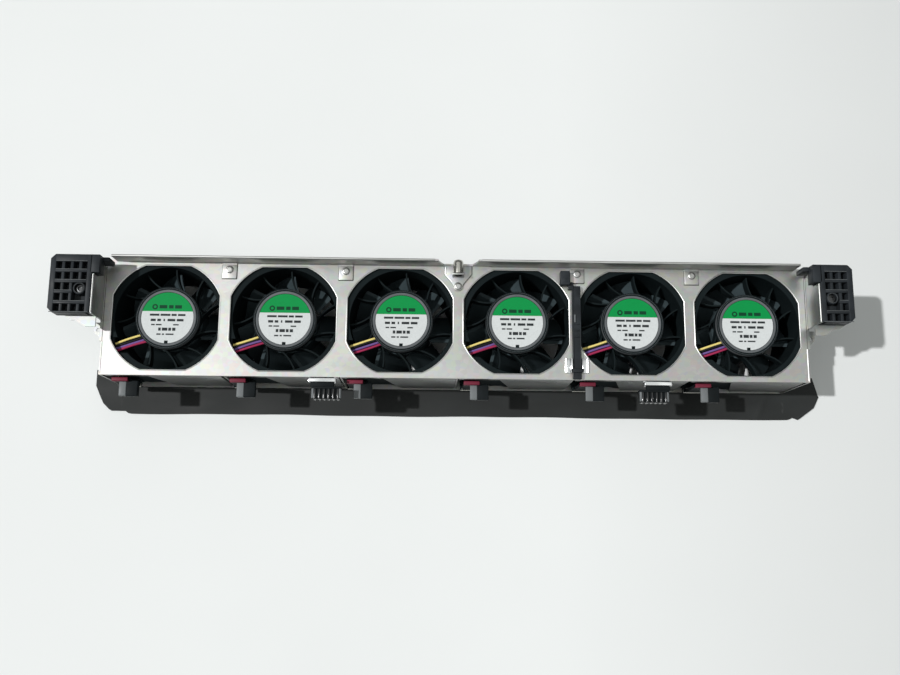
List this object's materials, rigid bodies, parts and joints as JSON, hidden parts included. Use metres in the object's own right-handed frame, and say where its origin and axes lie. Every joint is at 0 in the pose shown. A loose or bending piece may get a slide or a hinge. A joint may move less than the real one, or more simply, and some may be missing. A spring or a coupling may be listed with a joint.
{
  "type": "server fan module",
  "caption": "Rack-server fan cage of sheet steel: hot-swap axial fans in a row of bays, with sprung latches, guide blocks, a guide pin and an air-seal flap.",
  "frame": {"origin": "under the middle of the row of fans, on the plane of the fan axes, where the intake plate rests", "axes": "+X along the row of fans, +Z out of the exhaust side, fans are pulled out towards -Y"},
  "size_m": [0.432, 0.0812, 0.066],
  "materials": {
    "plate_steel": "satin zinc-plated sheet",
    "cap_steel": "satin zinc-plated sheet",
    "bracket_steel": "satin zinc-plated sheet",
    "rivet_steel": "satin",
    "pin_steel": "turned",
    "screw_steel": "bright",
    "clip_chrome": "bright",
    "block_plastic": "moulded, fine grain",
    "latch_plastic": "moulded",
    "fan_plastic": "moulded",
    "rotor_plastic": "moulded",
    "motor_metal": "laminated steel and copper",
    "fan_label": "printed film",
    "wire_set": "insulated wire in four colours",
    "flap_film": "flexible sheet"
  },
  "bodies": {
    "cage": {"exhaust_plate": "plate_steel", "intake_plate": "plate_steel", "rear_pan": "plate_steel", "bay_dividers": "plate_steel", "rivets": "rivet_steel", "pin_bracket": "bracket_steel", "guide_pin": "pin_steel", "left_end_bracket": "bracket_steel", "right_end_bracket": "bracket_steel", "left_guide_block": "block_plastic", "right_guide_block": "block_plastic", "block_screws": "screw_steel", "air_seal_flap": "flap_film", "latch_clips": "clip_chrome", "cable_bar": "block_plastic", "cable_clip": "clip_chrome"},
    "fan_1": {"fan_1_frame": "fan_plastic", "fan_1_cap": "cap_steel", "fan_1_motor": "motor_metal", "fan_1_label": "fan_label", "fan_1_harness": "wire_set"},
    "fan_1_rotor": {"fan_1_impeller": "rotor_plastic"},
    "fan_1_thumb_latch": {"fan_1_latch": "latch_plastic"},
    "fan_2": {"fan_2_frame": "fan_plastic", "fan_2_cap": "cap_steel", "fan_2_motor": "motor_metal", "fan_2_label": "fan_label", "fan_2_harness": "wire_set"},
    "fan_2_rotor": {"fan_2_impeller": "rotor_plastic"},
    "fan_2_thumb_latch": {"fan_2_latch": "latch_plastic"},
    "fan_3": {"fan_3_frame": "fan_plastic", "fan_3_cap": "cap_steel", "fan_3_motor": "motor_metal", "fan_3_label": "fan_label", "fan_3_harness": "wire_set"},
    "fan_3_rotor": {"fan_3_impeller": "rotor_plastic"},
    "fan_3_thumb_latch": {"fan_3_latch": "latch_plastic"},
    "fan_4": {"fan_4_frame": "fan_plastic", "fan_4_cap": "cap_steel", "fan_4_motor": "motor_metal", "fan_4_label": "fan_label", "fan_4_harness": "wire_set"},
    "fan_4_rotor": {"fan_4_impeller": "rotor_plastic"},
    "fan_4_thumb_latch": {"fan_4_latch": "latch_plastic"},
    "fan_5": {"fan_5_frame": "fan_plastic", "fan_5_cap": "cap_steel", "fan_5_motor": "motor_metal", "fan_5_label": "fan_label", "fan_5_harness": "wire_set"},
    "fan_5_rotor": {"fan_5_impeller": "rotor_plastic"},
    "fan_5_thumb_latch": {"fan_5_latch": "latch_plastic"},
    "fan_6": {"fan_6_frame": "fan_plastic", "fan_6_cap": "cap_steel", "fan_6_motor": "motor_metal", "fan_6_label": "fan_label", "fan_6_harness": "wire_set"},
    "fan_6_rotor": {"fan_6_impeller": "rotor_plastic"},
    "fan_6_thumb_latch": {"fan_6_latch": "latch_plastic"},
    "left_button": {"left_latch_button": "latch_plastic"},
    "right_button": {"right_latch_button": "latch_plastic"}
  },
  "joints": [
    {"name": "fan_1_slide", "type": "slide", "parent": "cage", "child": "fan_1", "axis": [0, -1, 0], "range_m": [0, 0.066]},
    {"name": "fan_1_spin", "type": "hinge", "parent": "fan_1", "child": "fan_1_rotor", "pos_m": [-0.1591, 0, 0.02], "axis": [0, 0, 1], "continuous": true},
    {"name": "fan_1_latch_tilt", "type": "hinge", "parent": "fan_1", "child": "fan_1_thumb_latch", "pos_m": [-0.184, -0.0335, 0.018], "axis": [-1, 0, 0], "range_deg": [0, 6], "stiffness_Nm_per_rad": 0.05},
    {"name": "fan_2_slide", "type": "slide", "parent": "cage", "child": "fan_2", "axis": [0, -1, 0], "range_m": [0, 0.066]},
    {"name": "fan_2_spin", "type": "hinge", "parent": "fan_2", "child": "fan_2_rotor", "pos_m": [-0.0951, 0, 0.02], "axis": [0, 0, 1], "continuous": true},
    {"name": "fan_2_latch_tilt", "type": "hinge", "parent": "fan_2", "child": "fan_2_thumb_latch", "pos_m": [-0.12, -0.0335, 0.018], "axis": [-1, 0, 0], "range_deg": [0, 6], "stiffness_Nm_per_rad": 0.05},
    {"name": "fan_3_slide", "type": "slide", "parent": "cage", "child": "fan_3", "axis": [0, -1, 0], "range_m": [0, 0.066]},
    {"name": "fan_3_spin", "type": "hinge", "parent": "fan_3", "child": "fan_3_rotor", "pos_m": [-0.0311, 0, 0.02], "axis": [0, 0, 1], "continuous": true},
    {"name": "fan_3_latch_tilt", "type": "hinge", "parent": "fan_3", "child": "fan_3_thumb_latch", "pos_m": [-0.056, -0.0335, 0.018], "axis": [-1, 0, 0], "range_deg": [0, 6], "stiffness_Nm_per_rad": 0.05},
    {"name": "fan_4_slide", "type": "slide", "parent": "cage", "child": "fan_4", "axis": [0, -1, 0], "range_m": [0, 0.066]},
    {"name": "fan_4_spin", "type": "hinge", "parent": "fan_4", "child": "fan_4_rotor", "pos_m": [0.0329, 0, 0.02], "axis": [0, 0, 1], "continuous": true},
    {"name": "fan_4_latch_tilt", "type": "hinge", "parent": "fan_4", "child": "fan_4_thumb_latch", "pos_m": [0.008, -0.0335, 0.018], "axis": [-1, 0, 0], "range_deg": [0, 6], "stiffness_Nm_per_rad": 0.05},
    {"name": "fan_5_slide", "type": "slide", "parent": "cage", "child": "fan_5", "axis": [0, -1, 0], "range_m": [0, 0.066]},
    {"name": "fan_5_spin", "type": "hinge", "parent": "fan_5", "child": "fan_5_rotor", "pos_m": [0.0969, 0, 0.02], "axis": [0, 0, 1], "continuous": true},
    {"name": "fan_5_latch_tilt", "type": "hinge", "parent": "fan_5", "child": "fan_5_thumb_latch", "pos_m": [0.072, -0.0335, 0.018], "axis": [-1, 0, 0], "range_deg": [0, 6], "stiffness_Nm_per_rad": 0.05},
    {"name": "fan_6_slide", "type": "slide", "parent": "cage", "child": "fan_6", "axis": [0, -1, 0], "range_m": [0, 0.066]},
    {"name": "fan_6_spin", "type": "hinge", "parent": "fan_6", "child": "fan_6_rotor", "pos_m": [0.1609, 0, 0.02], "axis": [0, 0, 1], "continuous": true},
    {"name": "fan_6_latch_tilt", "type": "hinge", "parent": "fan_6", "child": "fan_6_thumb_latch", "pos_m": [0.136, -0.0335, 0.018], "axis": [-1, 0, 0], "range_deg": [0, 6], "stiffness_Nm_per_rad": 0.05},
    {"name": "left_button_press", "type": "slide", "parent": "cage", "child": "left_button", "axis": [0, 1, 0], "range_m": [0, 0.0022], "stiffness_N_per_m": 400},
    {"name": "right_button_press", "type": "slide", "parent": "cage", "child": "right_button", "axis": [0, 1, 0], "range_m": [0, 0.0022], "stiffness_N_per_m": 400}
  ]
}
